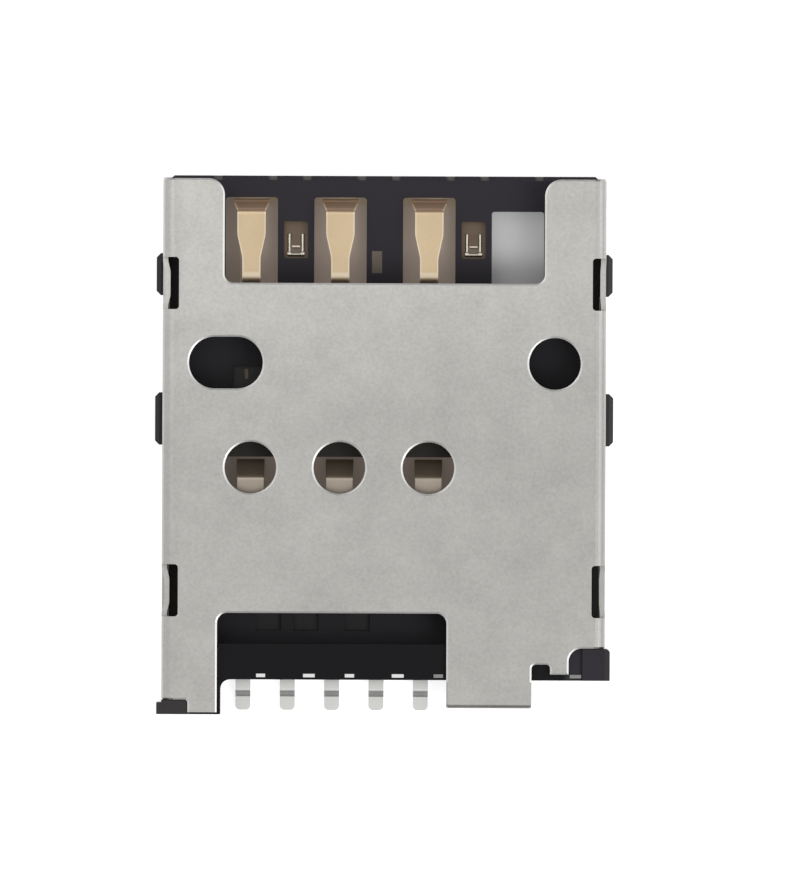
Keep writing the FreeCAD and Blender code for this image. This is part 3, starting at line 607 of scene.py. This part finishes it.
def contact_plating(finish):
    """One stamping: gold on the level crests, bare bronze where it leans or lies low, darkened there as
    painted shade, tin on the tails.

    The turned-up rim of the lanced openings and the tongue's tip are burnished and carry a painted
    highlight, as do the flared tips' edges and the front beams' rolled edges; the tips' front ends take
    painted light, and the rear row's gold and the tails' leaning faces take painted shade."""
    material, tree, shader, place, (x, y, z) = new_finish("contact_plating")
    tone, height = grain(tree, place, finish.plating_grain, cloud_share=0.5)
    level = ramp(tree, lean(tree)[2], *CREST_LEAN)
    plated = product(tree, level, over(tree, z, finish.floor_level))
    rear = under(tree, y, 0.0)
    tinned = under(tree, y, TAIL_FRONT_Y)
    lance_rim, low = lance_marks(tree, finish, x, y, z)
    flare, glint = beam_edges(tree, x, y)
    tip_end = between(tree, y, FLARE_Y + 0.02 * MM, TIP_Y + 0.06 * MM, soft=0.03 * MM)
    # Leaning faces take the bronze, darkened as painted shade
    leaning = blend(tree, rear, finish.bronze, finish.rear_bronze)
    # Metal that lies low is darker as painted shade
    bare = blend(tree, low, leaning, finish.strip)
    # Painted highlight on the flared tips' edges
    bare = blend(tree, flare, bare, times(finish.gold, FLARE_LEVEL))
    # Painted light on the tips' front ends
    bare = blend(tree, tip_end, bare, times(finish.bronze, TIP_END_LEVEL))
    # The rear row's gold is dimmed as painted shade
    gold = blend(tree, rear, finish.gold, finish.shaded_gold)
    # Painted highlight along the front beams' rolled edges and dip
    gold = blend(tree, product(tree, glint, GLINT_STRENGTH), gold, finish.glint)
    # Painted highlight on the lanced openings' burnished rim and the tongue's tip
    beam = blend(tree, lance_rim, blend(tree, plated, bare, gold), finish.burnish_highlight)
    flat_tin = blend(tree, under(tree, z, TAIL_FOOT_TOP), finish.tin, times(finish.tin, TIN_FOOT_LEVEL))
    # The tails' leaning faces are darker as painted shade
    tail = blend(tree, level, times(finish.tin, TIN_SLOPE_LEVEL), flat_tin)
    metal = toned(tree, blend(tree, tinned, beam, tail), remap(tree, tone, 0.86, 1.14))
    surface(tree, shader, metal, remap(tree, tone, 0.26, 0.44), height, strength=0.10, depth=0.003 * MM)
    bright = either(tree, plated, tinned, lance_rim)
    fill(tree, shader.inputs["Metallic"], remap(tree, bright, 0.2, 1.0))
    return material


def cut_tin(finish):
    """Sheared lead-frame ends: streaky tin, darkened as painted shade where it lies in the front edge's
    notches.
    """
    material, tree, shader, place, (_, y, _) = new_finish("cut_tin")
    tone, height = grain(tree, place, finish.plating_grain, cloud_share=0.2)
    # Painted shade on the tie bars in the front edge's notches
    painted_tone = blend(tree, over(tree, y, 0.0), finish.tin, times(finish.tin, NOTCH_TIN_LEVEL))
    streaks = toned(tree, painted_tone, remap(tree, tone, 0.6, 1.3))
    surface(tree, shader, streaks, remap(tree, tone, 0.35, 0.60), height, strength=0.3, depth=0.004 * MM)
    shader.inputs["Metallic"].default_value = 1.0
    return material


def dress(name, material):
    """Gives one of the frame's nodes its finish."""
    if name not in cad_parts:
        raise RuntimeError("the frame has no node named " + name)
    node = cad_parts[name]
    node.data.materials.clear()
    node.data.materials.append(material)


class CONNECTOR_OT_dress_housing(bpy.types.Operator):
    """Gives the moulded housing its black fibrous skin"""

    bl_idname = "connector.dress_housing"
    bl_label = "Dress Housing"

    def execute(self, context):
        dress("housing", black_moulding(context.scene.connector_finish))
        return {"FINISHED"}


class CONNECTOR_OT_dress_shell(bpy.types.Operator):
    """Gives the stamped shell its satin steel and burnished rims"""

    bl_idname = "connector.dress_shell"
    bl_label = "Dress Shell"

    def execute(self, context):
        dress("shell", satin_steel(context.scene.connector_finish))
        return {"FINISHED"}


class CONNECTOR_OT_dress_contacts(bpy.types.Operator):
    """Gives the six spring contacts their gold beams and tinned tails"""

    bl_idname = "connector.dress_contacts"
    bl_label = "Dress Contacts"

    def execute(self, context):
        material = contact_plating(context.scene.connector_finish)
        for name in CONTACTS:
            dress(name, material)
        return {"FINISHED"}


class CONNECTOR_OT_dress_tie_bars(bpy.types.Operator):
    """Gives the cut tie bars their sheared tin"""

    bl_idname = "connector.dress_tie_bars"
    bl_label = "Dress Tie Bars"

    def execute(self, context):
        dress("tie_bar_stubs", cut_tin(context.scene.connector_finish))
        return {"FINISHED"}


def background_rays(tree):
    """1 for rays that show the background: straight from the camera, by reflection or through glass."""
    path = tree.nodes.new("ShaderNodeLightPath")
    return either(tree, path.outputs["Is Camera Ray"], path.outputs["Is Glossy Ray"],
                  path.outputs["Is Transmission Ray"])


def window_light(tree, stage, x, y, covered):
    """Painted light on the floor below the part: a warm painted reflection under the contacts and their
    tips, painted shade by the first window's outer side, and a glow that stands in for the light through the
    windows, weaker on the web between the middle columns and fading as painted shade towards the shell's
    edge.
    """
    by_x = between(tree, x, CONTACTS_LEFT - 0.3 * MM, CONTACTS_RIGHT, soft=0.2 * MM)
    beneath = product(tree, covered, by_x)
    by_tips = product(tree, beneath, over(tree, y, TIP_SHADE_Y))
    first_side = product(tree, beneath, under(tree, x, CONTACTS_LEFT + FIRST_WINDOW_SIDE))
    tint = blend(tree, beneath, (1.0, 1.0, 1.0), stage.contact_tint)
    tint = blend(tree, by_tips, tint, stage.tip_tint)
    tint = blend(tree, first_side, tint, times(stage.contact_tint, FIRST_WINDOW_LEVEL))
    by_columns = product(tree, beneath, over(tree, maths(tree, "ABSOLUTE", x), MIDDLE_WEB))
    deep = remap(tree, by_columns, WEB_GLOW * stage.window_glow, COLUMN_GLOW * stage.window_glow)
    return tint, ramp(tree, y, DEEP_Y, LIGHT_Y, deep, FRONT_GLOW * stage.window_glow)


def floor_material(stage):
    """Pale floor that takes shadows; the background brightens it evenly in the open, and below the part a
    faint glow is painted light that stands in for the light through the windows.

    It is clear from below, so that the part's underside can be seen."""
    material, tree, shader, _, (x, y, _) = new_finish("pale_floor")
    covered = product(tree, between(tree, x, SHELL_LOW.x, SHELL_HIGH.x, soft=0.02 * MM),
                      between(tree, y, COVER_REAR_Y, COVER_FRONT_Y, soft=0.05 * MM))
    rear_slots = product(tree, between(tree, x, *REAR_SLOT_X, soft=0.01 * MM),
                         between(tree, y, REAR_SLOT_Y, COVER_REAR_Y, soft=0.01 * MM))
    tint, window_glow = window_light(tree, stage, x, y, covered)
    # Painted shade in the rear edge's slots
    open_glow = remap(tree, rear_slots, stage.floor_glow, stage.slot_glow)
    glow = put(tree, "ShaderNodeMix", Factor=covered, A=open_glow, B=window_glow).outputs[0]
    fill(tree, shader.inputs["Base Color"], blend(tree, 1.0, stage.floor_colour, tint, "MULTIPLY"))
    fill(tree, shader.inputs["Emission Color"], tint)
    fill(tree, shader.inputs["Emission Strength"], product(tree, background_rays(tree), glow))
    shader.inputs["Roughness"].default_value = 0.9
    shader.inputs["Specular IOR Level"].default_value = 0.0
    seen = tree.nodes.new("ShaderNodeMixShader")
    clear = tree.nodes.new("ShaderNodeBsdfTransparent")
    out = next(n for n in tree.nodes if n.type == "OUTPUT_MATERIAL")
    fill(tree, seen.inputs[0], tree.nodes.new("ShaderNodeNewGeometry").outputs["Backfacing"])
    fill(tree, seen.inputs[1], shader.outputs[0])
    fill(tree, seen.inputs[2], clear.outputs[0])
    fill(tree, out.inputs["Surface"], seen.outputs[0])
    return material


def lay_floor(stage):
    """Square floor: a grid z = -gap over (u, v) in [-1/2, 1/2] times the floor's size."""
    steps = np.linspace(-0.5, 0.5, 3) * stage.floor_size
    u, v = np.meshgrid(steps, steps)
    points = np.stack([u.ravel(), v.ravel(), np.full(u.size, -stage.floor_gap)], axis=1)
    row = len(steps)
    corner = np.add.outer(np.arange(row - 1) * row, np.arange(row - 1)).ravel()
    faces = np.stack([corner, corner + 1, corner + row + 1, corner + row], axis=1)
    mesh = bpy.data.meshes.new("floor")
    mesh.from_pydata(points.tolist(), [], faces.tolist())
    mesh.materials.append(floor_material(stage))
    floor = bpy.data.objects.new("floor", mesh)
    bpy.context.scene.collection.objects.link(floor)


def hang_light(name, level, size, place):
    """Square area light aimed at the connector; its power is pi x face area x brightness."""
    light = bpy.data.lights.new(name, "AREA")
    light.shape = "SQUARE"
    light.size = size
    light.energy = math.pi * size ** 2 * level
    holder = bpy.data.objects.new(name, light)
    holder.location = place
    holder.rotation_euler = (-Vector(place)).to_track_quat("-Z", "Y").to_euler()
    holder.visible_camera = False
    bpy.context.scene.collection.objects.link(holder)
    return holder


def light_world(stage):
    """Even light from all round, with a white background that metal shows darker towards the two ends."""
    world = bpy.data.worlds.new("studio")
    world.use_nodes = True
    tree = world.node_tree
    tree.nodes.clear()
    room = put(tree, "ShaderNodeBackground", Color=(1.0, 1.0, 1.0, 1.0), Strength=stage.ambient)
    heading = put(tree, "ShaderNodeSeparateXYZ",
                  Vector=tree.nodes.new("ShaderNodeTexCoord").outputs["Generated"]).outputs["Y"]
    ends = ramp(tree, maths(tree, "ABSOLUTE", heading), *END_HEADING)
    mirrored = product(tree, ends, tree.nodes.new("ShaderNodeLightPath").outputs["Is Glossy Ray"])
    backdrop = put(tree, "ShaderNodeBackground", Color=(1.0, 1.0, 1.0, 1.0),
                   Strength=remap(tree, mirrored, 1.0, stage.end_level))
    mix = tree.nodes.new("ShaderNodeMixShader")
    fill(tree, mix.inputs[0], background_rays(tree))
    fill(tree, mix.inputs[1], room.outputs[0])
    fill(tree, mix.inputs[2], backdrop.outputs[0])
    put(tree, "ShaderNodeOutputWorld", Surface=mix.outputs[0])
    bpy.context.scene.world = world


def place_camera(stage):
    """Camera straight above the shell, far off, framed to the image's height in pixels."""
    data = bpy.data.cameras.new("view_from_above")
    data.sensor_width = stage.sensor
    data.lens = stage.sensor * stage.distance / (IMAGE_HEIGHT / stage.scale)
    data.clip_end = 10.0
    camera = bpy.data.objects.new("view_from_above", data)
    camera.location = (*stage.centre, SHELL_HIGH.z + stage.distance)
    camera.rotation_euler = (0.0, 0.0, stage.roll)
    bpy.context.scene.collection.objects.link(camera)
    bpy.context.scene.camera = camera


class CONNECTOR_OT_lay_stage(bpy.types.Operator):
    """Lays the pale floor, hangs the light and places the camera"""

    bl_idname = "connector.lay_stage"
    bl_label = "Lay Stage"

    def execute(self, context):
        stage = context.scene.connector_stage
        lay_floor(stage)
        light_world(stage)
        hang_light("softbox", stage.key, stage.key_size, stage.key_place)
        card = hang_light("card", stage.card, stage.card_size, stage.card_place)
        card.visible_diffuse = False
        place_camera(stage)
        context.scene.view_settings.view_transform = "Standard"
        return {"FINISHED"}


OPERATORS = (
    CONNECTOR_OT_dress_housing,
    CONNECTOR_OT_dress_shell,
    CONNECTOR_OT_dress_contacts,
    CONNECTOR_OT_dress_tie_bars,
    CONNECTOR_OT_lay_stage,
)


class CONNECTOR_PT_panel(bpy.types.Panel):
    """Lists the connector's finishes, its stage and the steps that make them"""

    bl_idname = "CONNECTOR_PT_panel"
    bl_label = "Connector"
    bl_space_type = "VIEW_3D"
    bl_region_type = "UI"
    bl_category = "Connector"

    def draw(self, context):
        for group in (context.scene.connector_finish, context.scene.connector_stage):
            box = self.layout.box()
            for name in group.__annotations__:
                box.prop(group, name)
        for operator in OPERATORS:
            self.layout.operator(operator.bl_idname)


CLASSES = (ConnectorFinish, ConnectorStage, *OPERATORS, CONNECTOR_PT_panel)


def register():
    for cls in CLASSES:
        bpy.utils.register_class(cls)
    bpy.types.Scene.connector_finish = PointerProperty(type=ConnectorFinish)
    bpy.types.Scene.connector_stage = PointerProperty(type=ConnectorStage)


def unregister():
    del bpy.types.Scene.connector_stage
    del bpy.types.Scene.connector_finish
    for cls in reversed(CLASSES):
        bpy.utils.unregister_class(cls)


def main():
    """Registers the add-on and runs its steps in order."""
    register()
    bpy.ops.connector.dress_housing()
    bpy.ops.connector.dress_shell()
    bpy.ops.connector.dress_contacts()
    bpy.ops.connector.dress_tie_bars()
    bpy.ops.connector.lay_stage()


if __name__ == "__main__":
    main()
